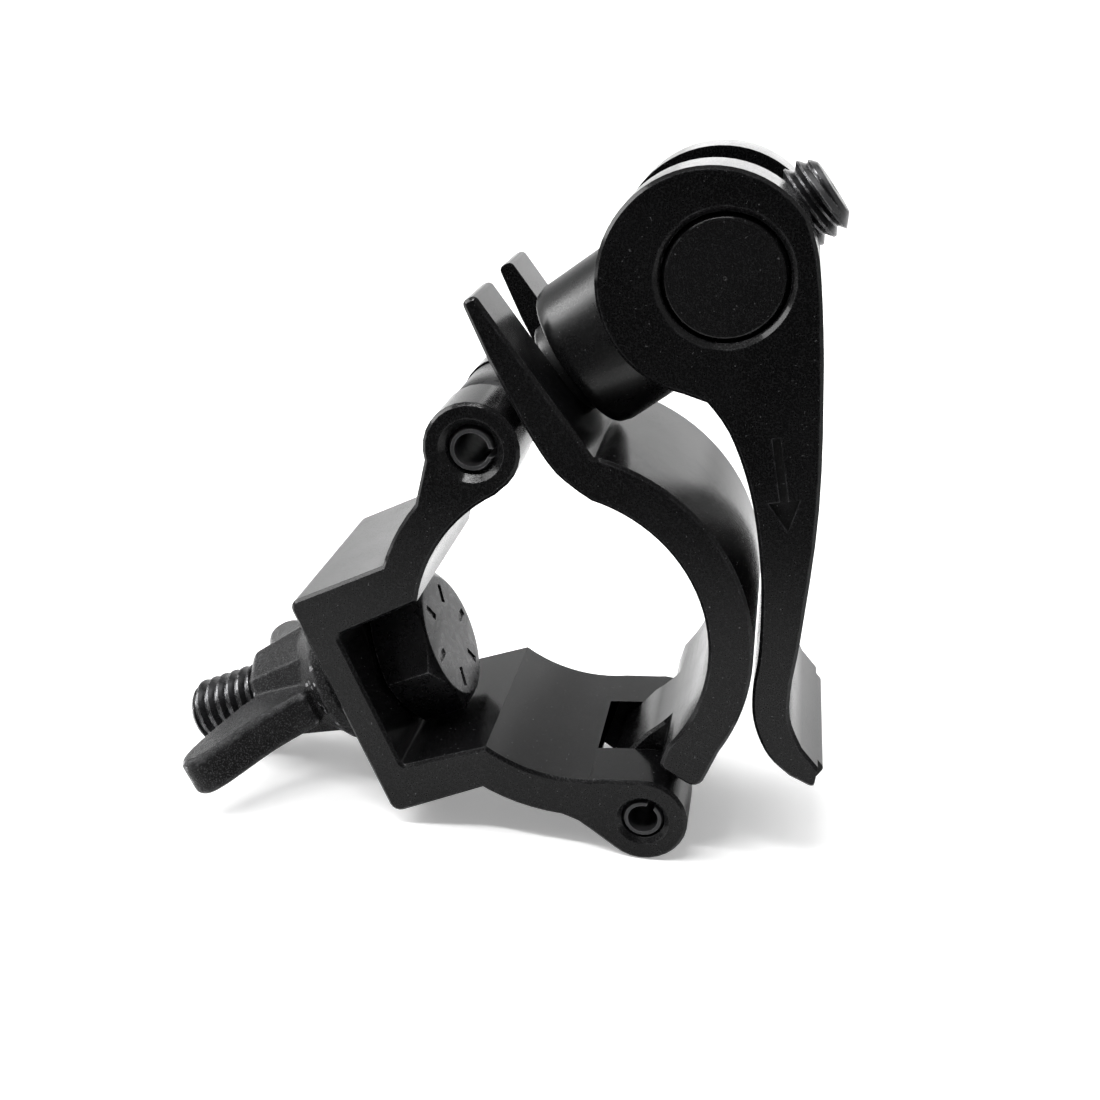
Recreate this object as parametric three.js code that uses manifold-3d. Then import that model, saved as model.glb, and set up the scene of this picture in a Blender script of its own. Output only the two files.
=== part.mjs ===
// Quick-lever pipe clamp. Millimetres, +Z up, tube axis along +Y, origin on the base jaw's bore axis
// at mid-width. Outlines are drawn in the XZ plane with the box axis at BOX_ANGLE, and the finished
// clamp is then turned by STAND_TURN so that it stands on its bolt end and its hinge knuckle.
import * as THREE from 'three';
import { mergeVertices } from 'three/addons/utils/BufferGeometryUtils.js';
import Module from 'manifold-3d';

const wasm = await Module();
wasm.setup();

const DEG = Math.PI / 180;
const GAP = 0.3;
// Cutters run this far past what they cut
const PAST = 1;

// Overall attitude
const BOX_ANGLE = 30;
const STUD_ANGLE = 43;
const STAND_TURN = -4.2;

// Jaw extrusion
const WIDTH = 38;
const EDGE = 0.5;
const BORE_R = 25.4;
const BODY_OUTER_R = 31.8;
const BODY_LOWER_R = 32.2;
const JAW_CENTRE = [-4.5, -2.5];
const JAW_INNER_R = 25;
const JAW_OUTER_R = 31.8;
const SLOT_HALF = 8.3;

// Box that carries the fixing bolt
const BOX_BACK = -41.6;
const BOX_FLOOR = -36.35;
const BOX_HALF = 20.1;
const BOX_CORNER_R = 1.7;
const TOP_BEND = -24.6;
const LOW_BEND = -25.1;
const SPOT_FACE_R = 13;
const SPOT_FACE_DEPTH = 0.15;
const CHANNEL_HALF_FLOOR = 12.3;
const CHANNEL_HALF_MOUTH = 13.4;
const CHANNEL_CORNER_R = 0.8;
const BOLT_CLEARANCE = 0.5;

// Pivots
const SWING_PIVOT = [-19.3, 26.8];
const HINGE_PIVOT = [14.7, -30.3];
const SWING_BOSS_R = 7.4;
const HINGE_BOSS_R = 7.2;
const TONGUE_R = 7.0;
const SWING_PIN_R = 3.6;
const HINGE_PIN_R = 3.4;
const SWING_RING_R = 5.0;
const HINGE_RING_R = 4.3;
const CLEVIS_START = 5.3;
const PIN_WALL = 1.0;
const PIN_SPLIT = 1.3;
const PIN_HALF = 18.3;
const PIN_TAPER = 0.8;
const PIN_END_STEP = 0.4;
const RUNNING = 0.1;

// Swing stud, measured along its axis from its pivot
const THREAD_R = 6.1;
const THREAD_DEPTH = 1.05;
const THREAD_PITCH = 2.1;
const END_CHAMFER = 1.8;
const END_R = 4.5;
const END_SHOULDER = 0.5;
const STUD_THREAD_START = 9.2;
const STUD_END = 62.2;
const EYE_HALF = 8.0;
const EYE_R = 7.1;
const EYE_EDGE = 0.6;
const EYE_CLEARANCE = 1.6;
const SEAT = 14.6;
const HORN_REACH = 18.0;
const FORK_HALF = 8.0;
const FORK_BACK = 2;
const FORK_OUT = 24;

// Collar, trunnion and lever
const COLLAR_R = 12.2;
const COLLAR_BASE = 16.6;
const COLLAR_TOP = 32.0;
const SADDLE_R = 18.6;
const SPIGOT_R = 7.7;
const SPIGOT_END = 13.2;
const COLLAR_FOOT = 2.1;
const COLLAR_EDGE = 0.5;
const TRUNNION_AT = 44.6;
const TRUNNION_R = 9.0;
const TRUNNION_HALF = 17.6;
const RIM = 0.8;
const CAM_CENTRE = [11.3, 56.1];
const CAM_R = 16;
const LEVER_HALF = 18;
const PAD_HALF = 15.2;
const CHEEK_GAP_HALF = 8.2;
const CHEEK_GAP_R = 25;

// Fixing bolt and its nut, measured along the box axis
const BOLT_END = -76.8;
const HEAD_FACE = -26.4;
const HEAD_FLAT = 11;
const CROWN_R = 10.4;
const CROWN_ANGLE = 31;
const HEAD_TURN = 2.7;
const WASHER_R = 12.4;
const WASHER_THICK = 2.4;
const WASHER_EDGE = 0.5;
const NUT_END = -62.6;
const WING_HALF_THICK = 3.4;
const WING_EDGE = 0.8;
const WING_TURN = 3;

// Round bodies: segments for small parts, threads and large parts
const ROUND = 32;
const THREAD_ROUND = 24;
const FINE_ROUND = 48;
const CORNER_STEP = 25 * DEG;

function polar(centre, radius, degrees) {
  return [centre[0] + radius * Math.cos(degrees * DEG), centre[1] + radius * Math.sin(degrees * DEG)];
}

function arc(centre, radius, from, to, steps) {
  const points = [];
  for (let i = 0; i <= steps; i += 1) {
    points.push(polar(centre, radius, from + ((to - from) * i) / steps));
  }
  return points;
}

// Point given along and across an axis that leaves `origin` at `degrees`
function axisPoint(origin, degrees, along, across) {
  const c = Math.cos(degrees * DEG);
  const s = Math.sin(degrees * DEG);
  return [origin[0] + along * c - across * s, origin[1] + along * s + across * c];
}

function boxPoint(along, across) {
  return axisPoint([0, 0], BOX_ANGLE, along, across);
}

function studPoint(along, across) {
  return axisPoint(SWING_PIVOT, STUD_ANGLE, along, across);
}

// Smooth curve through a few points
function curve(points, steps) {
  const path = new THREE.SplineCurve(points.map((p) => new THREE.Vector2(p[0], p[1])));
  return path.getPoints(steps).map((p) => [p.x, p.y]);
}

// Rounded corner between two straight runs
function corner(before, at, after, radius) {
  const a = new THREE.Vector2(before[0] - at[0], before[1] - at[1]).normalize();
  const b = new THREE.Vector2(after[0] - at[0], after[1] - at[1]).normalize();
  const half = Math.acos(THREE.MathUtils.clamp(a.dot(b), -1, 1)) / 2;
  const reach = radius / Math.tan(half);
  const centre = a.clone().add(b).normalize().multiplyScalar(radius / Math.sin(half));
  const start = a.clone().multiplyScalar(reach).sub(centre).angle();
  let sweep = b.clone().multiplyScalar(reach).sub(centre).angle() - start;
  if (sweep > Math.PI) sweep -= 2 * Math.PI;
  if (sweep < -Math.PI) sweep += 2 * Math.PI;
  const steps = Math.max(2, Math.ceil(Math.abs(sweep) / CORNER_STEP));
  return arc([at[0] + centre.x, at[1] + centre.y], radius, start / DEG, (start + sweep) / DEG, steps);
}

function toShape(points) {
  return new THREE.Shape(points.map((p) => new THREE.Vector2(p[0], p[1])));
}

// Outline in XZ, solid between two y values, with a small chamfer round both faces
function plate(points, yLow, yHigh, edge) {
  const geometry = new THREE.ExtrudeGeometry(toShape(points), {
    depth: yHigh - yLow - 2 * edge,
    bevelEnabled: edge > 0,
    bevelThickness: edge,
    bevelSize: edge,
    bevelOffset: -edge,
    bevelSegments: 1,
  });
  geometry.rotateX(90 * DEG);
  geometry.translate(0, yHigh - edge, 0);
  return geometry;
}

// Turned body from [along, radius] pairs, its axis leaving `origin` at `degrees` in the XZ plane
function turned(profile, origin, degrees, segments = ROUND) {
  const points = profile.map((p) => new THREE.Vector2(p[1], p[0]));
  const geometry = new THREE.LatheGeometry(points, segments);
  geometry.rotateZ(-90 * DEG);
  geometry.rotateY(-degrees * DEG);
  geometry.translate(origin[0], 0, origin[1]);
  return geometry;
}

// Turned body whose axis is parallel to Y
function turnedY(profile, centre, segments = ROUND) {
  const points = profile.map((p) => new THREE.Vector2(p[1], p[0]));
  const geometry = new THREE.LatheGeometry(points, segments);
  geometry.translate(centre[0], 0, centre[1]);
  return geometry;
}

function rod(radius, from, to, chamfer = 0) {
  return [
    [from, 0],
    [from, radius - chamfer],
    [from + chamfer, radius],
    [to - chamfer, radius],
    [to, radius - chamfer],
    [to, 0],
  ].filter((p, i) => chamfer > 0 || (i !== 2 && i !== 3));
}

// Ringed thread between two stations
function threadRings(from, to, radius) {
  const turns = Math.floor((to - from) / THREAD_PITCH);
  const rings = [];
  for (let i = 0; i < turns; i += 1) {
    const at = from + i * THREAD_PITCH;
    rings.push([at, radius - THREAD_DEPTH]);
    rings.push([at + THREAD_PITCH / 2, radius]);
  }
  rings.push([from + turns * THREAD_PITCH, radius - THREAD_DEPTH]);
  return rings;
}

function solid(geometry) {
  geometry.deleteAttribute('normal');
  geometry.deleteAttribute('uv');
  const merged = mergeVertices(geometry, 1e-4);
  const source = merged.index.array;
  const triangles = [];
  for (let i = 0; i < source.length; i += 3) {
    const [a, b, c] = [source[i], source[i + 1], source[i + 2]];
    if (a !== b && b !== c && a !== c) triangles.push(a, b, c);
  }
  const mesh = new wasm.Mesh({
    numProp: 3,
    vertProperties: Float32Array.from(merged.attributes.position.array),
    triVerts: Uint32Array.from(triangles),
  });
  const result = new wasm.Manifold(mesh);
  return result.volume() < 0 ? solid(flipped(merged, triangles)) : result;
}

function flipped(geometry, triangles) {
  const copy = new THREE.BufferGeometry();
  copy.setAttribute('position', geometry.attributes.position);
  const turnedOver = [];
  for (let i = 0; i < triangles.length; i += 3) {
    turnedOver.push(triangles[i], triangles[i + 2], triangles[i + 1]);
  }
  copy.setIndex(turnedOver);
  return copy;
}

const group = new THREE.Group();
group.name = 'pipe_clamp';

function addPiece(name, body, colour, roughness, metalness) {
  const mesh = body.getMesh();
  const geometry = new THREE.BufferGeometry();
  geometry.setAttribute('position', new THREE.BufferAttribute(mesh.vertProperties, 3));
  geometry.setIndex(new THREE.BufferAttribute(mesh.triVerts, 1));
  geometry.rotateY(-STAND_TURN * DEG);
  geometry.computeVertexNormals();
  const piece = new THREE.Mesh(
    geometry,
    new THREE.MeshStandardMaterial({ color: colour, roughness, metalness }),
  );
  piece.name = name;
  group.add(piece);
}

// Cutter for a hole along Y whose mouths open at 45 degrees to `mouth` at both faces
function countersunkBore(pivot, hole, mouth, half, segments = ROUND) {
  const depth = mouth - hole;
  const profile = [
    [-half - PAST, 0],
    [-half - PAST, mouth + PAST],
    [-half + depth, hole],
    [half - depth, hole],
    [half + PAST, mouth + PAST],
    [half + PAST, 0],
  ];
  return solid(turnedY(profile, pivot, segments));
}

// Base jaw: box section with a channel for the bolt head, two arms and a clevis at each end
function baseJaw() {
  const topCorner = boxPoint(BOX_BACK, BOX_HALF);
  const lowCorner = boxPoint(BOX_BACK, -BOX_HALF);
  const topBend = boxPoint(TOP_BEND, BOX_HALF);
  const lowBend = boxPoint(LOW_BEND, -BOX_HALF);
  const floorTop = boxPoint(BOX_FLOOR, CHANNEL_HALF_FLOOR);
  const floorLow = boxPoint(BOX_FLOOR, -CHANNEL_HALF_FLOOR);
  const mouth = Math.sqrt(BORE_R ** 2 - CHANNEL_HALF_MOUTH ** 2);
  const mouthAngle = Math.atan2(CHANNEL_HALF_MOUTH, mouth) / DEG;
  const mouthTop = boxPoint(-mouth, CHANNEL_HALF_MOUTH);
  const mouthLow = boxPoint(-mouth, -CHANNEL_HALF_MOUTH);
  const outline = [
    ...corner(lowCorner, topCorner, topBend, BOX_CORNER_R),
    ...arc([0, 0], BODY_OUTER_R, 169.5, 148, 5),
    ...arc(SWING_PIVOT, SWING_BOSS_R, 202, -48, 20),
    ...arc([0, 0], BORE_R, 126, 180 + BOX_ANGLE - mouthAngle, 12),
    ...corner(mouthTop, floorTop, floorLow, CHANNEL_CORNER_R),
    ...corner(floorTop, floorLow, mouthLow, CHANNEL_CORNER_R),
    ...arc([0, 0], BORE_R, 180 + BOX_ANGLE + mouthAngle, 286, 11),
    ...arc(HINGE_PIVOT, HINGE_BOSS_R, 108, -122, 19),
    [6.7, -34],
    [4.4, -32.8],
    ...arc([0, 0], BODY_LOWER_R, -87, -109.5, 5),
    lowBend,
    ...corner(lowBend, lowCorner, topCorner, BOX_CORNER_R),
  ];
  const half = WIDTH / 2;
  let body = solid(plate(outline, -half, half, EDGE));
  const eyeSlot = turnedY(rod(EYE_R + EYE_CLEARANCE, -SLOT_HALF, SLOT_HALF), SWING_PIVOT, FINE_ROUND);
  body = body.subtract(solid(eyeSlot));
  const [right, bottom, top] = [40, -50, -8];
  const clevis = [[CLEVIS_START, bottom], [right, bottom], [right, top], [CLEVIS_START, top]];
  body = body.subtract(solid(plate(clevis, -SLOT_HALF, SLOT_HALF, 0)));
  body = body.subtract(countersunkBore(SWING_PIVOT, SWING_PIN_R + RUNNING, SWING_RING_R, half));
  body = body.subtract(countersunkBore(HINGE_PIVOT, HINGE_PIN_R + RUNNING, HINGE_RING_R, half));
  const boltHole = rod(THREAD_R + BOLT_CLEARANCE, BOX_BACK - PAST, BOX_FLOOR + PAST);
  body = body.subtract(solid(turned(boltHole, [0, 0], BOX_ANGLE)));
  const spotFace = rod(SPOT_FACE_R, BOX_BACK - PAST, BOX_BACK + SPOT_FACE_DEPTH);
  return body.subtract(solid(turned(spotFace, [0, 0], BOX_ANGLE, FINE_ROUND)));
}

// Top jaw: C section with a nose over the knuckle, a central tongue round the hinge pin and a fork
function topJaw() {
  const [tipCorner, noseInner, noseOuter] = [0.9, 1.2, 1.8];
  const tipOuter = studPoint(SEAT - 0.1, HORN_REACH);
  const tipInner = studPoint(12.2, HORN_REACH + 0.4);
  const under = studPoint(8.8, -2.2);
  const seatCorner = studPoint(SEAT + 0.1, -10.8);
  const noseIn = polar(JAW_CENTRE, 26.6, -40.8);
  const noseOut = polar(JAW_CENTRE, 33.6, -37.2);
  const outline = [
    ...corner(seatCorner, tipOuter, tipInner, tipCorner),
    ...corner(tipOuter, tipInner, under, tipCorner),
    ...curve([studPoint(10.4, 9.6), under, studPoint(8.5, -9.2), [-2.7, 23.2]], 10),
    ...arc(JAW_CENTRE, JAW_INNER_R, 81, -33, 30),
    ...corner(polar(JAW_CENTRE, 25.6, -34), noseIn, noseOut, noseInner),
    ...corner(noseIn, noseOut, polar(JAW_CENTRE, 32.6, -27), noseOuter),
    ...arc(JAW_CENTRE, JAW_OUTER_R, -24, 82.5, 28),
    seatCorner,
  ];
  const half = WIDTH / 2;
  let jaw = solid(plate(outline, -half, half, EDGE));
  const tongue = [
    ...arc(JAW_CENTRE, JAW_INNER_R, -8, -46, 10),
    ...arc(HINGE_PIVOT, TONGUE_R, 140, 370, 22),
    ...arc(JAW_CENTRE, JAW_OUTER_R - 0.1, -25, -8, 5),
  ];
  jaw = jaw.add(solid(plate(tongue, -EYE_HALF, EYE_HALF, EDGE)));
  const throat = turned(rod(FORK_HALF, FORK_BACK, FORK_OUT), SWING_PIVOT, STUD_ANGLE, FINE_ROUND);
  const beyond = HORN_REACH + 12;
  const way = [
    studPoint(FORK_BACK, 0),
    studPoint(FORK_OUT, 0),
    studPoint(FORK_OUT, beyond),
    studPoint(FORK_BACK, beyond),
  ];
  jaw = jaw.subtract(solid(throat)).subtract(solid(plate(way, -FORK_HALF, FORK_HALF, 0)));
  const pinHole = rod(HINGE_PIN_R + RUNNING, -half, half);
  return jaw.subtract(solid(turnedY(pinHole, HINGE_PIVOT)));
}

// Spring pin: rolled tube with tapered ends and an open split along its length
function springPin(pivot, radius, splitAngle) {
  const inner = radius - PIN_WALL;
  const end = radius - PIN_END_STEP;
  const profile = [
    [-PIN_HALF, inner],
    [-PIN_HALF, end],
    [-PIN_HALF + PIN_TAPER, radius],
    [PIN_HALF - PIN_TAPER, radius],
    [PIN_HALF, end],
    [PIN_HALF, inner],
    [-PIN_HALF, inner],
  ];
  const [inside, outside] = [0.5, radius + PAST];
  const split = [
    axisPoint(pivot, splitAngle, inside, -PIN_SPLIT / 2),
    axisPoint(pivot, splitAngle, outside, -PIN_SPLIT / 2),
    axisPoint(pivot, splitAngle, outside, PIN_SPLIT / 2),
    axisPoint(pivot, splitAngle, inside, PIN_SPLIT / 2),
  ];
  const cutter = plate(split, -PIN_HALF - PAST, PIN_HALF + PAST, 0);
  return solid(turnedY(profile, pivot)).subtract(solid(cutter));
}

// Swing stud: eye on the swing pin and a shank threaded to its chamfered end
function swingStud() {
  const shank = [
    [0, 0],
    [0, THREAD_R - THREAD_DEPTH],
    ...threadRings(STUD_THREAD_START, STUD_END - END_CHAMFER, THREAD_R),
    [STUD_END - END_CHAMFER / 2, THREAD_R - END_SHOULDER],
    [STUD_END, END_R],
    [STUD_END, 0],
  ];
  const eye = turnedY(rod(EYE_R, -EYE_HALF, EYE_HALF, EYE_EDGE), SWING_PIVOT);
  const hole = turnedY(rod(SWING_PIN_R + RUNNING, -EYE_HALF - PAST, EYE_HALF + PAST), SWING_PIVOT);
  return solid(turned(shank, SWING_PIVOT, STUD_ANGLE, THREAD_ROUND)).add(solid(eye)).subtract(solid(hole));
}

// Collar: spigot in the fork, chamfered base and a hollow saddle that the two cams ride in
function collar() {
  const bore = THREAD_R + GAP;
  const profile = [
    [SPIGOT_END, bore],
    [SPIGOT_END, SPIGOT_R - COLLAR_EDGE],
    [SPIGOT_END + COLLAR_EDGE, SPIGOT_R],
    [COLLAR_BASE, SPIGOT_R],
    [COLLAR_BASE, COLLAR_R - 2 * COLLAR_EDGE],
    [COLLAR_BASE + COLLAR_EDGE, COLLAR_R - COLLAR_EDGE],
    [COLLAR_BASE + COLLAR_FOOT, COLLAR_R],
    [COLLAR_TOP - COLLAR_EDGE, COLLAR_R],
    [COLLAR_TOP, COLLAR_R - COLLAR_EDGE],
    [COLLAR_TOP, bore],
    [SPIGOT_END, bore],
  ];
  const saddle = turnedY(rod(SADDLE_R, -LEVER_HALF, LEVER_HALF), studPoint(TRUNNION_AT, 0), FINE_ROUND);
  return solid(turned(profile, SWING_PIVOT, STUD_ANGLE, FINE_ROUND)).subtract(solid(saddle));
}

// Trunnion: cross barrel with a hole for the stud
function trunnion() {
  const centre = studPoint(TRUNNION_AT, 0);
  const barrel = turnedY(rod(TRUNNION_R, -TRUNNION_HALF, TRUNNION_HALF, RIM), centre, FINE_ROUND);
  const reach = TRUNNION_R + PAST;
  const hole = rod(THREAD_R + GAP, TRUNNION_AT - reach, TRUNNION_AT + reach);
  return solid(barrel).subtract(solid(turned(hole, SWING_PIVOT, STUD_ANGLE)));
}

// Engraved arrow on the near face of the handle, in place of lettering
function arrowMark() {
  const at = [26.3, 29.3];
  const [stem, barb, tail, neck, tip] = [0.6, 2.3, 7, -2.6, -7.4];
  const mark = [
    [-stem, tail],
    [-stem, neck],
    [-barb, neck],
    [0, tip],
    [barb, neck],
    [stem, neck],
    [stem, tail],
  ];
  const turn = 17;
  const depth = 0.9;
  const points = mark.map((p) => axisPoint(at, turn, p[0], p[1]));
  return solid(plate(points, -LEVER_HALF - PAST, -LEVER_HALF + depth, 0));
}

// Cam lever: two eccentric cheeks round the trunnion, joined by a handle that ends in a flared pad
function camLever() {
  const inside = curve([
    polar(CAM_CENTRE, CAM_R, -84),
    [17.8, 35.2],
    [22.4, 26.2],
    [25.8, 14.6],
    [27.6, 3],
    [27.9, -4.5],
    [29.1, -9.9],
    [32.1, -14.9],
    [36, -17.8],
  ], 34);
  const outside = curve([
    [37, -12.6],
    [34.4, -8.1],
    [33.5, -2.6],
    [33.4, 6],
    [32.3, 25.6],
    [29.2, 45.5],
    [26.0, 60],
    [24.1, 64.9],
  ], 26);
  const outline = [
    ...arc(CAM_CENTRE, CAM_R, 44, 266, 40),
    ...inside.slice(1),
    ...corner([36, -17.8], [39.9, -19.1], [41.3, -17], 1),
    ...corner([39.9, -19.1], [41.3, -16.6], [37, -12.6], 0.8),
    ...outside,
  ];
  const pivot = studPoint(TRUNNION_AT, 0);
  let lever = solid(plate(outline, -LEVER_HALF, LEVER_HALF, EDGE));
  lever = lever.subtract(handleTaper(1)).subtract(handleTaper(-1));
  const gap = turnedY(rod(CHEEK_GAP_R, -CHEEK_GAP_HALF, CHEEK_GAP_HALF), pivot, FINE_ROUND);
  lever = lever.subtract(solid(gap));
  const hole = TRUNNION_R + RUNNING;
  const bore = countersunkBore(pivot, hole, hole + RIM, LEVER_HALF, FINE_ROUND);
  return lever.subtract(bore).subtract(arrowMark());
}

// Cutter that narrows one side of the handle from the cheeks' width to the pad's
function handleTaper(sign) {
  const outer = LEVER_HALF + PAST;
  const [start, end, bottom] = [36, -6, -30];
  const section = toShape([
    [sign * LEVER_HALF, start],
    [sign * PAD_HALF, end],
    [sign * PAD_HALF, bottom],
    [sign * outer, bottom],
    [sign * outer, start],
  ]);
  const depth = 80;
  const geometry = new THREE.ExtrudeGeometry(section, { depth, bevelEnabled: false });
  geometry.rotateX(90 * DEG);
  geometry.rotateZ(90 * DEG);
  geometry.translate(depth / 2, 0, 0);
  return solid(geometry);
}

// Fixing bolt: chamfered hex head in the channel and a threaded shank through the box wall
function fixingBolt() {
  const headBack = BOX_FLOOR + GAP;
  const hexagon = arc([0, 0], HEAD_FLAT / Math.cos(30 * DEG), 30 + HEAD_TURN, 330 + HEAD_TURN, 5);
  const prism = new THREE.ExtrudeGeometry(toShape(hexagon), {
    depth: HEAD_FACE - headBack,
    bevelEnabled: false,
  });
  prism.rotateY(90 * DEG);
  prism.translate(headBack, 0, 0);
  prism.rotateY(-BOX_ANGLE * DEG);
  const crownWide = 16;
  const crownDrop = (crownWide - CROWN_R) * Math.tan(CROWN_ANGLE * DEG);
  const crown = [
    [headBack, 0],
    [headBack, crownWide],
    [HEAD_FACE - crownDrop, crownWide],
    [HEAD_FACE, CROWN_R],
    [HEAD_FACE, 0],
  ];
  const head = solid(prism).intersect(solid(turned(crown, [0, 0], BOX_ANGLE, FINE_ROUND)));
  const shank = [
    [BOLT_END, 0],
    [BOLT_END, END_R],
    [BOLT_END + END_CHAMFER / 2, THREAD_R - END_SHOULDER],
    ...threadRings(BOLT_END + END_CHAMFER, BOX_BACK - WASHER_THICK, THREAD_R),
    [BOX_BACK, THREAD_R],
    [headBack + PAST, THREAD_R],
    [headBack + PAST, 0],
  ];
  return head.add(solid(turned(shank, [0, 0], BOX_ANGLE, THREAD_ROUND)));
}

// Flat washer between the box and the nut
function flatWasher() {
  const high = BOX_BACK - GAP;
  const low = high - WASHER_THICK;
  const bore = THREAD_R + BOLT_CLEARANCE;
  const profile = [
    [low, bore],
    [low, WASHER_R - WASHER_EDGE],
    [low + WASHER_EDGE, WASHER_R],
    [high - WASHER_EDGE, WASHER_R],
    [high, WASHER_R - WASHER_EDGE],
    [high, bore],
    [low, bore],
  ];
  return solid(turned(profile, [0, 0], BOX_ANGLE));
}

// Wing nut: flange, eight-sided tapering hub and two swept wings
function wingNut() {
  const face = BOX_BACK - 2 * GAP - WASHER_THICK;
  const flange = [
    [face - 6.4, 0],
    [face - 6.4, 9.8],
    [face - 4.6, 11],
    [face - 2.8, 12.6],
    [face - 1, 12.6],
    [face, 11.9],
    [face, 0],
  ];
  const hub = [
    [NUT_END, 0],
    [NUT_END, 7.4],
    [NUT_END + 1.2, 8.4],
    [face - 4, 10.9],
    [face - 4, 0],
  ];
  const wing = [
    [face - 4.5, 5],
    [face - 5.5, 12.5],
    [face - 12.5, 17],
    [face - 19, 24],
    [face - 22.6, 25.6],
    [face - 25.2, 23.4],
    [face - 24.4, 18.5],
    [NUT_END - 1.5, 9],
    [NUT_END + 2, 5],
  ];
  const wingPoints = [
    ...wing.slice(0, 2),
    ...curve(wing.slice(1, 8), 18).slice(1),
    wing[8],
  ];
  let nut = solid(turned(flange, [0, 0], 0)).add(solid(turned(hub, [0, 0], 0, 8)));
  for (const sign of [1, -1]) {
    const shape = toShape(wingPoints.map((p) => [p[0], sign * p[1]]));
    const geometry = new THREE.ExtrudeGeometry(shape, {
      depth: 2 * (WING_HALF_THICK - WING_EDGE),
      bevelEnabled: true,
      bevelThickness: WING_EDGE,
      bevelSize: WING_EDGE,
      bevelOffset: -WING_EDGE,
      bevelSegments: 1,
    });
    geometry.translate(0, 0, WING_EDGE - WING_HALF_THICK);
    nut = nut.add(solid(geometry));
  }
  const bore = rod(THREAD_R + GAP, BOLT_END, face + PAST);
  nut = nut.subtract(solid(turned(bore, [0, 0], 0)));
  return nut.rotate([WING_TURN, 0, 0]).rotate([0, -BOX_ANGLE, 0]);
}

addPiece('base_jaw', baseJaw(), 0x121213, 0.42, 0.1);
addPiece('top_jaw', topJaw(), 0x121213, 0.42, 0.1);
addPiece('hinge_pin', springPin(HINGE_PIVOT, HINGE_PIN_R, 70), 0x1a1a1b, 0.35, 0.6);
addPiece('swing_pin', springPin(SWING_PIVOT, SWING_PIN_R, 0), 0x1a1a1b, 0.35, 0.6);
addPiece('swing_stud', swingStud(), 0x19191a, 0.38, 0.6);
addPiece('collar', collar(), 0x232324, 0.5, 0.3);
addPiece('trunnion', trunnion(), 0x161617, 0.45, 0.4);
addPiece('cam_lever', camLever(), 0x121213, 0.42, 0.1);
addPiece('fixing_bolt', fixingBolt(), 0x19191a, 0.4, 0.6);
addPiece('flat_washer', flatWasher(), 0x1a1a1b, 0.35, 0.6);
addPiece('wing_nut', wingNut(), 0x171718, 0.3, 0.4);

export default group;
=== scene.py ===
import math

import bmesh
import bpy
from mathutils import Matrix, Vector


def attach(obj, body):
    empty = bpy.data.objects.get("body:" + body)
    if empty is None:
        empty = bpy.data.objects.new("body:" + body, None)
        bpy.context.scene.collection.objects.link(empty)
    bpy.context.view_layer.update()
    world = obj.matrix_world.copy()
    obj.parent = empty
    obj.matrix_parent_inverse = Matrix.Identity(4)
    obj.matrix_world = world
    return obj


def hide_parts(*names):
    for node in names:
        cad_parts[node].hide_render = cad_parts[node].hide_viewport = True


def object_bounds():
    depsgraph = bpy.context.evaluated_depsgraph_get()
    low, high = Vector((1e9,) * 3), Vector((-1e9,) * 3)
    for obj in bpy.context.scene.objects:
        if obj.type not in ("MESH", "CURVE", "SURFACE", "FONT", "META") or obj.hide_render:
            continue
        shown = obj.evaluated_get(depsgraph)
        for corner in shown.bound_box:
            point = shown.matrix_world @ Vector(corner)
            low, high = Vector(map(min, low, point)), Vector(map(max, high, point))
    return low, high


MM = 0.001

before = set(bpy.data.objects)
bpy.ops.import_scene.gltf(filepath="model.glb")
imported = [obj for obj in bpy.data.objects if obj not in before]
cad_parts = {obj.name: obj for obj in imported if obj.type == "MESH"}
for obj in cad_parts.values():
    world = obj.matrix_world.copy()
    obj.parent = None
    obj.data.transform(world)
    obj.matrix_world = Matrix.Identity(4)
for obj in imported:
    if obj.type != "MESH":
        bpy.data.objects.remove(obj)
cad_box = [list(corner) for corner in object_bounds()]

# Places and directions of the clamp's axes. Lengths are in millimetres, in the row frame
BORE = Vector((0.0, 0.0, 0.0))
BOLT_DIR = Vector((0.90032, 0.0, 0.43523))
BOLT_SIDE = Vector((-0.43523, 0.0, 0.90032))
STUD_DIR = Vector((0.77934, 0.0, 0.62660))
STUD_SIDE = Vector((-0.62660, 0.0, 0.77934))
ACROSS = Vector((0.0, 1.0, 0.0))
SWING = Vector((-17.285, 0.0, 28.141))
TRUNNION = Vector((17.473, 0.0, 56.088))

# Width of the rounding on the edges of the pieces that keep their CAD shape
BODY_EDGE = 0.38
COLLAR_EDGE = 0.22
PIN_EDGE = 0.18
SHARP = math.radians(28)

# Bolt head, with stations along the bolt
HEAD_BACK = -36.05
HEAD_FACE = -26.4
HEAD_FLAT = 11.0
HEAD_FOOT = 0.9
CROWN_R = 10.4
CROWN_ANGLE = math.radians(31)
HEAD_TURN = math.radians(2.7)
HEAD_EDGE = 0.16

# Generic ticks on the head's face, as half sizes at the groove's floor and at its mouth
TICKS = 6
TICK_R = 7.4
TICK_DEPTH = 0.35
TICK_FLOOR = (1.35, 0.38)
TICK_MOUTH = (1.80, 0.80)

# Thread of the bolt and the stud. A lead is (chamfer length, radius at the very end)
THREAD_R = 6.1
THREAD_DEPTH = 1.05
THREAD_ROOT = THREAD_R - THREAD_DEPTH
THREAD_PITCH = 2.1
THREAD_STEPS = 64
LEAD = (1.6, 4.3)
NO_LEAD = (0.0, 0.0)

SHANK_R = 6.1
BOLT_SHANK_END = -42.6
BOLT_THREAD_END = -43.0
BOLT_END = -76.8
STUD_ROOT_START = 5.2
STUD_THREAD_START = 9.0
STUD_END = 62.2

WASHER_TOP = -41.9
WASHER_THICK = 2.4

NUT_VOXEL = 0.25
NUT_EASING = 16


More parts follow.
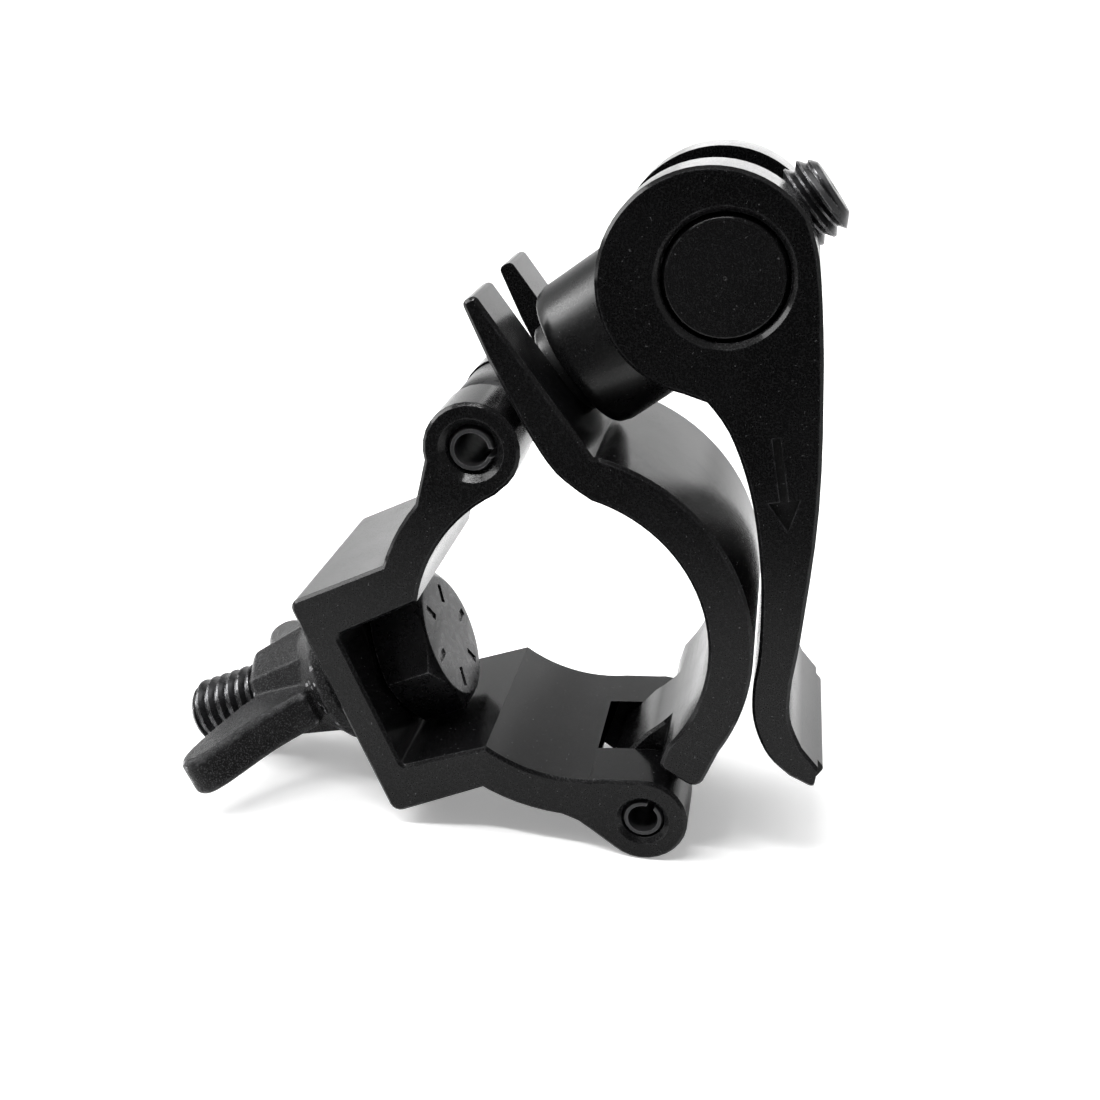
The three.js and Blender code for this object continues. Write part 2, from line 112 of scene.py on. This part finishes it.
# ---------------------------------------------------------------- mesh helpers

def add_object(name, bm, body, replaced, material, smooth_angle=40):
    """Puts a finished bmesh, drawn in millimetres, in the scene as one piece that rides on a body."""
    bmesh.ops.scale(bm, vec=(MM, MM, MM), verts=bm.verts)
    bmesh.ops.recalc_face_normals(bm, faces=bm.faces)
    return add_mesh(name, to_mesh(name, bm), body, replaced, material, smooth_angle)


def add_mesh(name, mesh, body, replaced, material, smooth_angle):
    mesh.materials.clear()
    mesh.materials.append(material)
    for polygon in mesh.polygons:
        polygon.material_index = 0
    mesh.shade_smooth()
    mesh.set_sharp_from_angle(angle=math.radians(smooth_angle))
    piece = bpy.data.objects.new(name, mesh)
    bpy.context.scene.collection.objects.link(piece)
    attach(piece, body)
    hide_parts(*replaced)
    return piece


def to_mesh(name, bm):
    mesh = bpy.data.meshes.new(name)
    bm.to_mesh(mesh)
    bm.free()
    return mesh


def welded_node(node):
    """A CAD node's mesh with the vertices that lie on each other joined."""
    bm = bmesh.new()
    bm.from_mesh(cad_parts[node].data)
    bmesh.ops.remove_doubles(bm, verts=bm.verts, dist=2e-6)
    return bm


def mark_outer_edges(bm):
    """Gives full bevel weight to the sharp edges that stick out. Inner corners stay crisp."""
    weight = bm.edges.layers.float.new("bevel_weight_edge")
    for edge in bm.edges:
        if edge.is_manifold and edge.is_convex and edge.calc_face_angle() > SHARP:
            edge[weight] = 1.0


def round_edges(piece, width):
    """Rounds the marked edges, then weights the normals so that wide faces stay flat."""
    bevel = piece.modifiers.new("round", "BEVEL")
    bevel.width = width * MM
    bevel.segments = 3
    bevel.limit_method = "WEIGHT"
    bevel.harden_normals = False
    bevel.use_clamp_overlap = True
    weighted = piece.modifiers.new("flat_faces", "WEIGHTED_NORMAL")
    weighted.keep_sharp = True
    weighted.weight = 60


def from_cad(node, name, body, material, edge):
    """A finer copy of a CAD node: welded, with flat faces whole and its outer edges rounded."""
    bm = welded_node(node)
    bmesh.ops.dissolve_limit(
        bm, angle_limit=math.radians(0.6), verts=bm.verts, edges=bm.edges, delimit={"NORMAL"}
    )
    bmesh.ops.recalc_face_normals(bm, faces=bm.faces)
    mark_outer_edges(bm)
    piece = add_mesh(name, to_mesh(name, bm), body, [node], material, 50)
    round_edges(piece, edge)


def placed(origin, along, side):
    """Matrix from (along, side, third) coordinates to the row frame."""
    third = along.cross(side)
    return Matrix(
        (
            (along.x, side.x, third.x, origin.x),
            (along.y, side.y, third.y, origin.y),
            (along.z, side.z, third.z, origin.z),
            (0, 0, 0, 1),
        )
    )


def circle_point(along, radius, angle):
    return Vector((along, radius * math.cos(angle), radius * math.sin(angle)))


def lathe(bm, profile, matrix, segments=96, closed=False):
    """Turns (along, radius) pairs about the matrix's first axis."""
    rings = []
    for along, radius in profile:
        if radius < 1e-6:
            rings.append([bm.verts.new(matrix @ Vector((along, 0, 0)))])
            continue
        ring = []
        for i in range(segments):
            ring.append(bm.verts.new(matrix @ circle_point(along, radius, 2 * math.pi * i / segments)))
        rings.append(ring)
    pairs = list(zip(rings, rings[1:]))
    if closed:
        pairs.append((rings[-1], rings[0]))
    for a, b in pairs:
        if len(a) == 1 and len(b) == 1:
            continue
        for i in range(segments):
            j = (i + 1) % segments
            if len(a) == 1:
                bm.faces.new((a[0], b[i], b[j]))
            elif len(b) == 1:
                bm.faces.new((a[i], b[0], a[j]))
            else:
                bm.faces.new((a[i], b[i], b[j], a[j]))


def thread_height(phase):
    """0 at the root and 1 at the crest, with a small flat at each."""
    rise = 1 - abs(2 * phase - 1)
    return min(1.0, max(0.0, (rise - 0.12) / 0.74))


def thread(bm, start, end, matrix, lead_start, lead_end):
    """Right-hand thread between two stations, with a lead at each end."""
    corners = [0.0, 0.06, 0.16, 0.26, 0.36, 0.43, 0.5, 0.57, 0.64, 0.74, 0.84, 0.94]
    per_turn = len(corners)
    first = math.floor(start / THREAD_PITCH) - 2
    turns = math.ceil((end - start) / THREAD_PITCH) + 4

    def radius_at(along, height):
        radius = THREAD_ROOT + THREAD_DEPTH * height
        for (length, small), distance in ((lead_start, along - start), (lead_end, end - along)):
            if length > 0 and distance < length:
                radius = min(radius, small + (THREAD_R + 0.1 - small) * distance / length)
        return radius

    rows = []
    for row in range(turns * per_turn + per_turn):
        turn, corner = divmod(row, per_turn)
        station = (first + turn + corners[corner]) * THREAD_PITCH
        height = thread_height(corners[corner])
        line = []
        for i in range(THREAD_STEPS):
            along = min(end, max(start, station + THREAD_PITCH * i / THREAD_STEPS))
            angle = 2 * math.pi * i / THREAD_STEPS
            line.append(bm.verts.new(matrix @ circle_point(along, radius_at(along, height), angle)))
        rows.append(line)
    # The last step of each row meets the first step of the row one turn further on
    for row in range(len(rows) - 1):
        for i in range(THREAD_STEPS):
            if i + 1 < THREAD_STEPS:
                near = (rows[row][i], rows[row + 1][i])
                far = (rows[row + 1][i + 1], rows[row][i + 1])
            elif row + 1 + per_turn < len(rows):
                near = (rows[row][i], rows[row + 1][i])
                far = (rows[row + 1 + per_turn][0], rows[row + per_turn][0])
            else:
                continue
            bm.faces.new(near + far)


def threaded_end(bm, end, outward, matrix):
    """Flat end of a thread with a small centre dimple. outward is 1 or -1 along the axis."""
    profile = [
        (end, LEAD[1]), (end + 0.05 * outward, 1.2), (end - 0.3 * outward, 0.4), (end - 0.5 * outward, 0.0)
    ]
    lathe(bm, profile, matrix, THREAD_STEPS)


def weld(bm, distance=1e-3):
    bmesh.ops.remove_doubles(bm, verts=bm.verts, dist=distance)
    bmesh.ops.dissolve_degenerate(bm, dist=distance, edges=bm.edges)


def bake_modifiers(piece):
    """Replaces the mesh by its evaluated copy and drops the modifiers."""
    bpy.context.view_layer.update()
    graph = bpy.context.evaluated_depsgraph_get()
    made = bpy.data.meshes.new_from_object(piece.evaluated_get(graph))
    piece.modifiers.clear()
    piece.data = made


def cut_away(piece, bm):
    """Exact boolean cut of a finished bmesh, in the piece's own units, out of a piece."""
    bmesh.ops.recalc_face_normals(bm, faces=bm.faces)
    cutter = bpy.data.objects.new("cutter", to_mesh("cutter", bm))
    bpy.context.scene.collection.objects.link(cutter)
    cut = piece.modifiers.new("cut", "BOOLEAN")
    cut.object = cutter
    cut.operation = "DIFFERENCE"
    cut.solver = "EXACT"
    bake_modifiers(piece)
    bpy.data.objects.remove(cutter)


# ---------------------------------------------------------------- shader helpers

def material(name):
    made = bpy.data.materials.new(name)
    made.use_nodes = True
    tree = made.node_tree
    tree.nodes.clear()
    output = tree.nodes.new("ShaderNodeOutputMaterial")
    shader = tree.nodes.new("ShaderNodeBsdfPrincipled")
    tree.links.new(shader.outputs["BSDF"], output.inputs["Surface"])
    return made, tree, shader


def object_coords(tree):
    return tree.nodes.new("ShaderNodeTexCoord").outputs["Object"]


def noise(tree, coords, scale, detail=4.0, roughness=0.55):
    """Noise whose scale is in features per metre."""
    node = tree.nodes.new("ShaderNodeTexNoise")
    node.inputs["Scale"].default_value = scale
    node.inputs["Detail"].default_value = detail
    node.inputs["Roughness"].default_value = roughness
    tree.links.new(coords, node.inputs["Vector"])
    return node.outputs["Fac"]


def remap(tree, value, low, high, out_low=0.0, out_high=1.0):
    node = tree.nodes.new("ShaderNodeMapRange")
    node.interpolation_type = "SMOOTHSTEP"
    node.inputs["From Min"].default_value = low
    node.inputs["From Max"].default_value = high
    node.inputs["To Min"].default_value = out_low
    node.inputs["To Max"].default_value = out_high
    tree.links.new(value, node.inputs["Value"])
    return node.outputs["Result"]


def combine(tree, operation, a, b):
    node = tree.nodes.new("ShaderNodeMath")
    node.operation = operation
    for socket, value in ((node.inputs[0], a), (node.inputs[1], b)):
        if isinstance(value, (int, float)):
            socket.default_value = value
        else:
            tree.links.new(value, socket)
    return node.outputs[0]


def mix_colour(tree, factor, a, b):
    node = tree.nodes.new("ShaderNodeMix")
    node.data_type = "RGBA"
    tree.links.new(factor, node.inputs["Factor"])
    for socket, value in ((node.inputs["A"], a), (node.inputs["B"], b)):
        if isinstance(value, tuple):
            socket.default_value = (*value, 1.0)
        else:
            tree.links.new(value, socket)
    return node.outputs["Result"]


def edge_mask(tree, radius, low, high):
    """1 along outer and inner edges, 0 on open faces."""
    bevel = tree.nodes.new("ShaderNodeBevel")
    bevel.samples = 4
    bevel.inputs["Radius"].default_value = radius * MM
    geometry = tree.nodes.new("ShaderNodeNewGeometry")
    dot = tree.nodes.new("ShaderNodeVectorMath")
    dot.operation = "DOT_PRODUCT"
    tree.links.new(bevel.outputs["Normal"], dot.inputs[0])
    tree.links.new(geometry.outputs["Normal"], dot.inputs[1])
    return remap(tree, dot.outputs["Value"], high, low)


def ridge_mask(tree, low, high):
    """1 along the ridges of a dense mesh, whose edges are too round for edge_mask."""
    geometry = tree.nodes.new("ShaderNodeNewGeometry")
    return remap(tree, geometry.outputs["Pointiness"], low, high)


def inner_corners(tree, reach, open_level, shut_level):
    """1 in concave corners, 0 on open faces and outer edges."""
    shade = tree.nodes.new("ShaderNodeAmbientOcclusion")
    shade.samples = 6
    shade.only_local = True
    shade.inputs["Distance"].default_value = reach * MM
    return remap(tree, shade.outputs["AO"], open_level, shut_level)


def bump(tree, shader, parts):
    """parts: (height, strength, distance in mm), chained."""
    normal = None
    for height, strength, distance in parts:
        node = tree.nodes.new("ShaderNodeBump")
        node.inputs["Strength"].default_value = strength
        node.inputs["Distance"].default_value = distance * MM
        tree.links.new(height, node.inputs["Height"])
        if normal is not None:
            tree.links.new(normal, node.inputs["Normal"])
        normal = node.outputs["Normal"]
    tree.links.new(normal, shader.inputs["Normal"])


# ---------------------------------------------------------------- materials

GRAIN_COLOUR = (0.011, 0.011, 0.0115)
DUST_COLOUR = (0.16, 0.16, 0.165)


def coated(name, dark, light, rough, grain, wear_and_glint_colour, wear_and_glint=0.5, gloss=1.26):
    """Black coating with fine grain, a little dust and thin rubbed edges whose light edge colour is partly
    painted highlight.
    """
    made, tree, shader = material(name)
    coords = object_coords(tree)
    clouds = noise(tree, coords, 55.0, 3.0)
    fine = noise(tree, coords, 2600.0, 3.0, 0.6)
    dust = remap(tree, noise(tree, coords, 2300.0, 1.0, 0.4), 0.745, 0.80, 0.0, 0.35)
    grains = remap(tree, noise(tree, coords, 3400.0, 2.0, 0.7), 0.46, 0.68)
    # Light colour along outer edges: partly rubbed paint, partly a painted edge highlight. The occlusion
    # mask keeps it out of concave corners.
    edges = edge_mask(tree, 0.42, 0.84, 0.985)
    corners = inner_corners(tree, 3.0, 0.94, 0.70)
    patchy = remap(tree, noise(tree, coords, 420.0, 4.0, 0.65), 0.38, 0.62, 0.0, wear_and_glint)
    worn_and_glinting = combine(tree, "MULTIPLY", edges, patchy)
    worn_and_glinting = combine(tree, "MULTIPLY", worn_and_glinting, combine(tree, "SUBTRACT", 1.0, corners))

    colour = mix_colour(tree, remap(tree, clouds, 0.35, 0.65), dark, light)
    colour = mix_colour(tree, grains, colour, GRAIN_COLOUR)
    colour = mix_colour(tree, dust, colour, DUST_COLOUR)
    colour = mix_colour(tree, worn_and_glinting, colour, wear_and_glint_colour)
    tree.links.new(colour, shader.inputs["Base Color"])

    # Dust and grimy corners are dull, and fine speckle breaks up the sheen
    dull = remap(tree, noise(tree, coords, 120.0, 4.0), 0.3, 0.7, *rough)
    dull = combine(tree, "ADD", dull, combine(tree, "MULTIPLY", dust, 0.3))
    dull = combine(tree, "ADD", dull, combine(tree, "MULTIPLY", corners, 0.45))
    speckle = remap(tree, noise(tree, coords, 3900.0, 2.0, 0.7), 0.40, 0.70, -0.03, 0.06)
    tree.links.new(combine(tree, "ADD", dull, speckle), shader.inputs["Roughness"])

    shader.inputs["Metallic"].default_value = 0.0
    shader.inputs["IOR"].default_value = gloss
    bump(tree, shader, [(fine, grain, 0.02), (clouds, 0.10, 0.05)])
    return made


def blackened(
    name, dark, light, rough, pits, metallic, wear_and_glint_colour,
    wear_and_glint=0.7, sand=0.004, gloss=1.5, ridges=False, painted_glints=0.0,
):
    """Blackened or plated steel with a slightly pitted skin and rubbed edges, whose light edge colour is
    partly painted highlight.

    sand is the height of the fine grain in mm. ridges is for a dense, eased mesh, and lays the light edge
    colour along its ridges as a painted highlight band. The glint amount paints fine light specks all over
    as painted highlights.
    """
    made, tree, shader = material(name)
    coords = object_coords(tree)
    clouds = noise(tree, coords, 160.0, 4.0)
    lumps = noise(tree, coords, 900.0, 3.0, 0.6)
    fine = noise(tree, coords, 2600.0, 2.0, 0.6)
    # Light edge colour: partly rubbed metal, partly painted highlight.
    edges = ridge_mask(tree, 0.505, 0.555) if ridges else edge_mask(tree, 0.35, 0.80, 0.97)
    patchy = remap(tree, lumps, 0.40, 0.66, 0.15, wear_and_glint)
    # Painted highlight: fine light specks of base colour all over, standing in for glint.
    painted_glint_specks = remap(tree, noise(tree, coords, 4200.0, 2.0, 0.6), 0.48, 0.72, 0.0, painted_glints)
    worn_and_glinting = combine(tree, "MAXIMUM", combine(tree, "MULTIPLY", edges, patchy), painted_glint_specks)

    colour = mix_colour(tree, remap(tree, clouds, 0.35, 0.7), dark, light)
    tree.links.new(mix_colour(tree, worn_and_glinting, colour, wear_and_glint_colour), shader.inputs["Base Color"])
    tree.links.new(remap(tree, lumps, 0.3, 0.7, *rough), shader.inputs["Roughness"])
    shader.inputs["Metallic"].default_value = metallic
    shader.inputs["IOR"].default_value = gloss
    bump(tree, shader, [(lumps, pits, 0.06), (fine, 1.0, sand)])
    return made


jaw_coat = coated(
    "jaw_coating",
    dark=(0.0022, 0.0022, 0.0024), light=(0.0042, 0.0042, 0.0045), rough=(0.14, 0.20),
    grain=0.50, wear_and_glint_colour=(0.10, 0.10, 0.105),
)
lever_coat = coated(
    "lever_coating",
    dark=(0.0020, 0.0020, 0.0022), light=(0.0038, 0.0038, 0.0041), rough=(0.13, 0.19),
    grain=0.55, wear_and_glint_colour=(0.10, 0.10, 0.105),
)
pin_steel = blackened(
    "pin_steel",
    dark=(0.018, 0.018, 0.019), light=(0.034, 0.034, 0.036), rough=(0.40, 0.52),
    pits=0.06, metallic=0.3, wear_and_glint_colour=(0.30, 0.30, 0.31),
)
turned_steel = coated(
    "turned_steel",
    dark=(0.0020, 0.0020, 0.0022), light=(0.0040, 0.0040, 0.0043), rough=(0.16, 0.24),
    grain=0.35, wear_and_glint_colour=(0.16, 0.16, 0.165), wear_and_glint=0.8, gloss=1.40,
)
bolt_steel = blackened(
    "bolt_steel",
    dark=(0.018, 0.018, 0.019), light=(0.030, 0.030, 0.032), rough=(0.24, 0.34),
    pits=0.14, metallic=0.7, wear_and_glint_colour=(0.48, 0.48, 0.49), wear_and_glint=1.0,
)
collar_steel = coated(
    "collar_steel",
    dark=(0.0030, 0.0030, 0.0032), light=(0.0050, 0.0050, 0.0053), rough=(0.27, 0.34),
    grain=0.40, wear_and_glint_colour=(0.12, 0.12, 0.125), gloss=1.41,
)
# The nut's light ridge band is partly rubbed metal and partly painted highlight; its fine light specks are
# painted highlight.
cast_nut = blackened(
    "cast_nut",
    dark=(0.004, 0.004, 0.0042), light=(0.012, 0.012, 0.0125), rough=(0.14, 0.24),
    pits=0.90, metallic=0.0, wear_and_glint_colour=(0.34, 0.34, 0.35),
    wear_and_glint=1.0, sand=0.14, gloss=1.20, ridges=True, painted_glints=0.13,
)
washer_steel = blackened(
    "washer_steel",
    dark=(0.02, 0.02, 0.021), light=(0.04, 0.04, 0.042), rough=(0.20, 0.32),
    pits=0.30, metallic=0.75, wear_and_glint_colour=(0.30, 0.30, 0.31),
)


# ---------------------------------------------------------------- pieces

def swing_stud():
    bm = bmesh.new()
    shank = placed(SWING, STUD_DIR, STUD_SIDE)
    thread(bm, STUD_THREAD_START, STUD_END, shank, NO_LEAD, LEAD)
    lathe(
        bm, [(STUD_ROOT_START, THREAD_ROOT), (STUD_THREAD_START, THREAD_ROOT)], shank, THREAD_STEPS
    )
    threaded_end(bm, STUD_END, 1, shank)
    weld(bm)
    # The eye's section: one face, the rim, the other face, then the chamfered bore
    section = [
        (-8.0, 4.1), (-8.0, 6.4), (-7.8, 6.8), (-7.4, 7.1), (7.4, 7.1), (7.8, 6.8), (8.0, 6.4), (8.0, 4.1),
        (7.7, 3.8), (-7.7, 3.8),
    ]
    lathe(bm, section, placed(SWING, ACROSS, STUD_DIR), 72, closed=True)
    add_object("swing_eye_stud", bm, "stud", ["swing_stud"], bolt_steel, 45)


def trunnion():
    """Cross barrel with a centre mark and fine turning rings on its faces, drilled for the stud."""
    face = 17.58
    end = [(-17.2, 0.0), (-17.45, 0.12), (-face, 0.3)]
    for ring in range(24):
        radius = 0.45 + ring * 0.32
        end += [(-face, radius), (0.035 - face, radius + 0.16)]
    end += [(-17.6, 8.14), (-17.57, 8.26), (-17.5, 8.35), (-17.4, 8.41)]
    end += [(-16.3, 8.86), (-16.0, 8.97), (-15.7, 9.0)]
    bm = bmesh.new()
    lathe(
        bm, end + [(-along, radius) for along, radius in reversed(end)], placed(TRUNNION, ACROSS, STUD_DIR)
    )
    barrel = add_object("trunnion_barrel", bm, "nut", ["trunnion"], turned_steel)
    hole = bmesh.new()
    drill = [(-12.0, 0.0), (-12.0, 6.4), (12.0, 6.4), (12.0, 0.0)]
    lathe(hole, drill, placed(TRUNNION, STUD_DIR, STUD_SIDE), 64)
    bmesh.ops.scale(hole, vec=(MM, MM, MM), verts=hole.verts)
    cut_away(barrel, hole)


def tick(bm, axis, turn):
    """Wedge-sided groove cutter, wide at the head's face and narrow at its floor."""
    out = Vector((0, math.cos(turn), math.sin(turn)))
    side = Vector((0, -math.sin(turn), math.cos(turn)))

    def corners(half_sizes, station):
        length, width = half_sizes
        made = []
        for u, v in ((-1, -1), (1, -1), (1, 1), (-1, 1)):
            point = out * TICK_R + out * (length * u) + side * (width * v)
            made.append(bm.verts.new(axis @ Vector((station, point.y, point.z))))
        return made

    floor = corners(TICK_FLOOR, HEAD_FACE - TICK_DEPTH)
    mouth = corners(TICK_MOUTH, HEAD_FACE + 0.15)
    for i in range(4):
        j = (i + 1) % 4
        bm.faces.new((floor[i], floor[j], mouth[j], mouth[i]))
    bm.faces.new(mouth)
    bm.faces.new(list(reversed(floor)))


def bolt_head(axis):
    """Hex head with a chamfered crown, eased edges and generic engraved ticks in place of lettering."""
    steps = 96
    sides = []
    for i in range(steps):
        angle = 2 * math.pi * i / steps
        sector = (angle + math.radians(30)) % math.radians(60) - math.radians(30)
        sides.append((angle + HEAD_TURN, HEAD_FLAT / math.cos(sector)))
    bm = bmesh.new()

    def ring(radius_at, station_at):
        return [bm.verts.new(axis @ circle_point(station_at(r), radius_at(r), a)) for a, r in sides]

    # Each ring's radius and station follow from the hexagon's radius at that angle
    rings = [
        ring(lambda r: HEAD_FLAT - HEAD_FOOT, lambda r: HEAD_BACK),
        ring(lambda r: r, lambda r: HEAD_BACK + 0.1 + (r - HEAD_FLAT) * 0.35),
        ring(lambda r: r, lambda r: HEAD_FACE - max(0.0, r - CROWN_R) * math.tan(CROWN_ANGLE)),
        ring(lambda r: min(r, CROWN_R), lambda r: HEAD_FACE),
    ]
    for low, high in zip(rings, rings[1:]):
        for i in range(steps):
            j = (i + 1) % steps
            bm.faces.new((low[i], high[i], high[j], low[j]))
    bm.faces.new(rings[-1])
    bm.faces.new(list(reversed(rings[0])))
    weld(bm)
    bmesh.ops.recalc_face_normals(bm, faces=bm.faces)
    sharp = [edge for edge in bm.edges if edge.is_manifold and edge.calc_face_angle() > math.radians(25)]
    bmesh.ops.bevel(
        bm, geom=sharp, offset=HEAD_EDGE, segments=2, profile=0.6, affect="EDGES", clamp_overlap=True
    )
    head = bpy.data.objects.new("bolt_head", to_mesh("bolt_head", bm))
    bpy.context.scene.collection.objects.link(head)
    marks = bmesh.new()
    for i in range(TICKS):
        tick(marks, axis, 2 * math.pi * (i + 0.5) / TICKS + HEAD_TURN)
    cut_away(head, marks)
    done = bmesh.new()
    done.from_mesh(head.data)
    bpy.data.objects.remove(head)
    return done


def fixing_bolt():
    axis = placed(BORE, BOLT_DIR, BOLT_SIDE)
    bm = bolt_head(axis)
    shank = bmesh.new()
    plain = [(HEAD_BACK + 0.05, SHANK_R), (BOLT_SHANK_END, SHANK_R), (BOLT_SHANK_END - 0.6, THREAD_ROOT)]
    lathe(shank, plain, axis, THREAD_STEPS)
    thread(shank, BOLT_END, BOLT_THREAD_END, axis, LEAD, NO_LEAD)
    threaded_end(shank, BOLT_END, -1, axis)
    weld(shank)
    bm.from_mesh(to_mesh("shank", shank))
    add_object("hex_fixing_bolt", bm, "base", ["fixing_bolt"], bolt_steel, 35)


def flat_washer():
    bm = bmesh.new()
    high = WASHER_TOP
    low = high - WASHER_THICK
    profile = [
        (low, 6.9), (low, 11.8), (low + 0.15, 12.2), (low + 0.5, 12.4), (high - 0.5, 12.4),
        (high - 0.15, 12.2), (high, 11.8), (high, 6.9), (high - 0.3, 6.5), (low + 0.3, 6.5),
    ]
    lathe(bm, profile, placed(BORE, BOLT_DIR, BOLT_SIDE), closed=True)
    add_object("plain_washer", bm, "washer", ["flat_washer"], washer_steel, 30)


def wing_nut():
    """The CAD nut remeshed finely and eased, so that its edges and inner corners run together."""
    mesh = to_mesh("wing_nut_cast", welded_node("wing_nut"))
    piece = add_mesh("wing_nut_cast", mesh, "wing", ["wing_nut"], cast_nut, 180)
    remesh = piece.modifiers.new("skin", "REMESH")
    remesh.mode = "VOXEL"
    remesh.voxel_size = NUT_VOXEL * MM
    remesh.use_smooth_shade = True
    ease = piece.modifiers.new("ease", "SMOOTH")
    ease.factor = 0.5
    ease.iterations = NUT_EASING
    bake_modifiers(piece)


from_cad("base_jaw", "base_jaw_body", "base", jaw_coat, BODY_EDGE)
from_cad("top_jaw", "top_jaw_body", "jaw", jaw_coat, BODY_EDGE)
from_cad("cam_lever", "cam_lever_body", "lever", lever_coat, BODY_EDGE)
from_cad("collar", "thrust_collar", "nut", collar_steel, COLLAR_EDGE)
from_cad("hinge_pin", "hinge_spring_pin", "base", pin_steel, PIN_EDGE)
from_cad("swing_pin", "swing_spring_pin", "base", pin_steel, PIN_EDGE)
swing_stud()
trunnion()
fixing_bolt()
flat_washer()
wing_nut()


# ---------------------------------------------------------------- stage, light and camera, in metres

FLOOR = cad_box[0][2]
STAGE_HALF_WIDTH = 1.8
STAGE_FRONT = -1.6
CURVE_START = 0.55
CURVE_R = 0.35
CURVE_STEPS = 12
BACKDROP_TOP = 1.5

# In reflections the floor is white under and behind the clamp, and falls off to dark in front of it:
# painted shade, standing in for the light falling off across the floor
WHITE_FROM = -0.070
PAINTED_SHADE_FROM = -0.185

WORLD_STRENGTH = 1.10
WORLD_FRONT_TONE = 0.10
WHITE = (1.0, 1.0, 1.0)


def seen_directly(tree):
    """1 where the stage itself is looked at, 0 where the clamp is lit by it or mirrors it."""
    return tree.nodes.new("ShaderNodeLightPath").outputs["Is Camera Ray"]


def along_y(tree, coords, start, end):
    """0 before start and 1 past end, by the coordinates' Y."""
    split = tree.nodes.new("ShaderNodeSeparateXYZ")
    tree.links.new(coords, split.inputs["Vector"])
    return remap(tree, split.outputs["Y"], start, end)


def floor_material():
    """Pale to look at; to reflections it is darkened in front of the clamp as painted shade. Its own light
    keeps the far floor as white as the backdrop.
    """
    made, tree, shader = material("studio_floor")
    coords = object_coords(tree)
    tone = mix_colour(tree, noise(tree, coords, 6.0, 2.0), (0.86, 0.86, 0.86), (0.89, 0.89, 0.89))
    # Painted shade: for all but camera rays the floor's colour falls to 0.07 in front of the clamp.
    front = along_y(tree, coords, WHITE_FROM, PAINTED_SHADE_FROM)
    mirrored_with_painted_shade = mix_colour(tree, front, tone, (0.07, 0.07, 0.07))
    direct = seen_directly(tree)
    tree.links.new(mix_colour(tree, direct, mirrored_with_painted_shade, tone), shader.inputs["Base Color"])
    tree.links.new(combine(tree, "MULTIPLY", direct, 0.3), shader.inputs["Emission Strength"])
    shader.inputs["Emission Color"].default_value = (*WHITE, 1.0)
    shader.inputs["Roughness"].default_value = 0.7
    shader.inputs["Specular IOR Level"].default_value = 0.2
    return made


def stage():
    """Pale floor that curves up into a backdrop behind the clamp."""
    section = [(STAGE_FRONT, 0.0), (CURVE_START, 0.0)]
    for i in range(1, CURVE_STEPS + 1):
        turn = math.radians(90 * i / CURVE_STEPS)
        section.append((CURVE_START + CURVE_R * math.sin(turn), CURVE_R * (1 - math.cos(turn))))
    section.append((CURVE_START + CURVE_R, BACKDROP_TOP))
    bm = bmesh.new()
    sides = (-STAGE_HALF_WIDTH, STAGE_HALF_WIDTH)
    rows = [[bm.verts.new((x, y, z + FLOOR)) for x in sides] for y, z in section]
    for a, b in zip(rows, rows[1:]):
        bm.faces.new((a[0], a[1], b[1], b[0]))
    mesh = to_mesh("studio_floor", bm)
    mesh.shade_smooth()
    mesh.materials.append(floor_material())
    floor = bpy.data.objects.new("studio_floor", mesh)
    bpy.context.scene.collection.objects.link(floor)


def area_light(name, place, target, size, power):
    light = bpy.data.lights.new(name, "AREA")
    light.shape = "RECTANGLE"
    light.size, light.size_y = size
    light.energy = power
    lamp = bpy.data.objects.new(name, light)
    lamp.visible_camera = False
    lamp.location = place
    direction = Vector(target) - Vector(place)
    lamp.rotation_euler = direction.to_track_quat("-Z", "Y").to_euler()
    bpy.context.scene.collection.objects.link(lamp)


def studio_world():
    """White surround to look at. As light, it falls off towards the front."""
    world = bpy.data.worlds.new("studio")
    world.use_nodes = True
    tree = world.node_tree
    background = tree.nodes["Background"]
    coords = tree.nodes.new("ShaderNodeTexCoord").outputs["Generated"]
    towards_front = along_y(tree, coords, 0.15, -0.65)
    lighting = mix_colour(tree, towards_front, WHITE, (WORLD_FRONT_TONE,) * 3)
    tree.links.new(mix_colour(tree, seen_directly(tree), lighting, WHITE), background.inputs["Color"])
    background.inputs["Strength"].default_value = WORLD_STRENGTH
    bpy.context.scene.world = world


def photo_camera():
    """Camera at the photograph's viewing angle. The matrix holds its axes and its place."""
    data = bpy.data.cameras.new("photo_camera")
    data.sensor_width = 36.0
    data.lens = 45.818
    data.clip_start = 0.01
    data.clip_end = 20.0
    camera = bpy.data.objects.new("photo_camera", data)
    camera.matrix_world = Matrix(
        (
            (0.984845, -0.105300, 0.137815, 0.0242306),
            (0.167303, 0.367283, -0.914939, -0.2110519),
            (0.045726, 0.924130, 0.379333, 0.0934770),
            (0.0, 0.0, 0.0, 1.0),
        )
    )
    bpy.context.scene.collection.objects.link(camera)
    bpy.context.scene.camera = camera


stage()
area_light("overhead_back", (0.0, 0.35, 0.75), (0, 0.35, 0), (1.4, 0.4), 4.6)
area_light("left_softbox", (-0.70, -0.06, 0.40), (0, 0, 0.04), (0.36, 0.50), 6.2)
area_light("front_strip", (-0.28, -0.30, 0.70), (-0.28, 0, 0.05), (0.62, 0.05), 5.0)
area_light("back_card", (0.18, 0.74, 0.20), (0, 0, 0.05), (0.60, 0.26), 0.40)
studio_world()
bpy.context.scene.view_settings.view_transform = "Standard"
bpy.context.scene.view_settings.look = "None"
photo_camera()
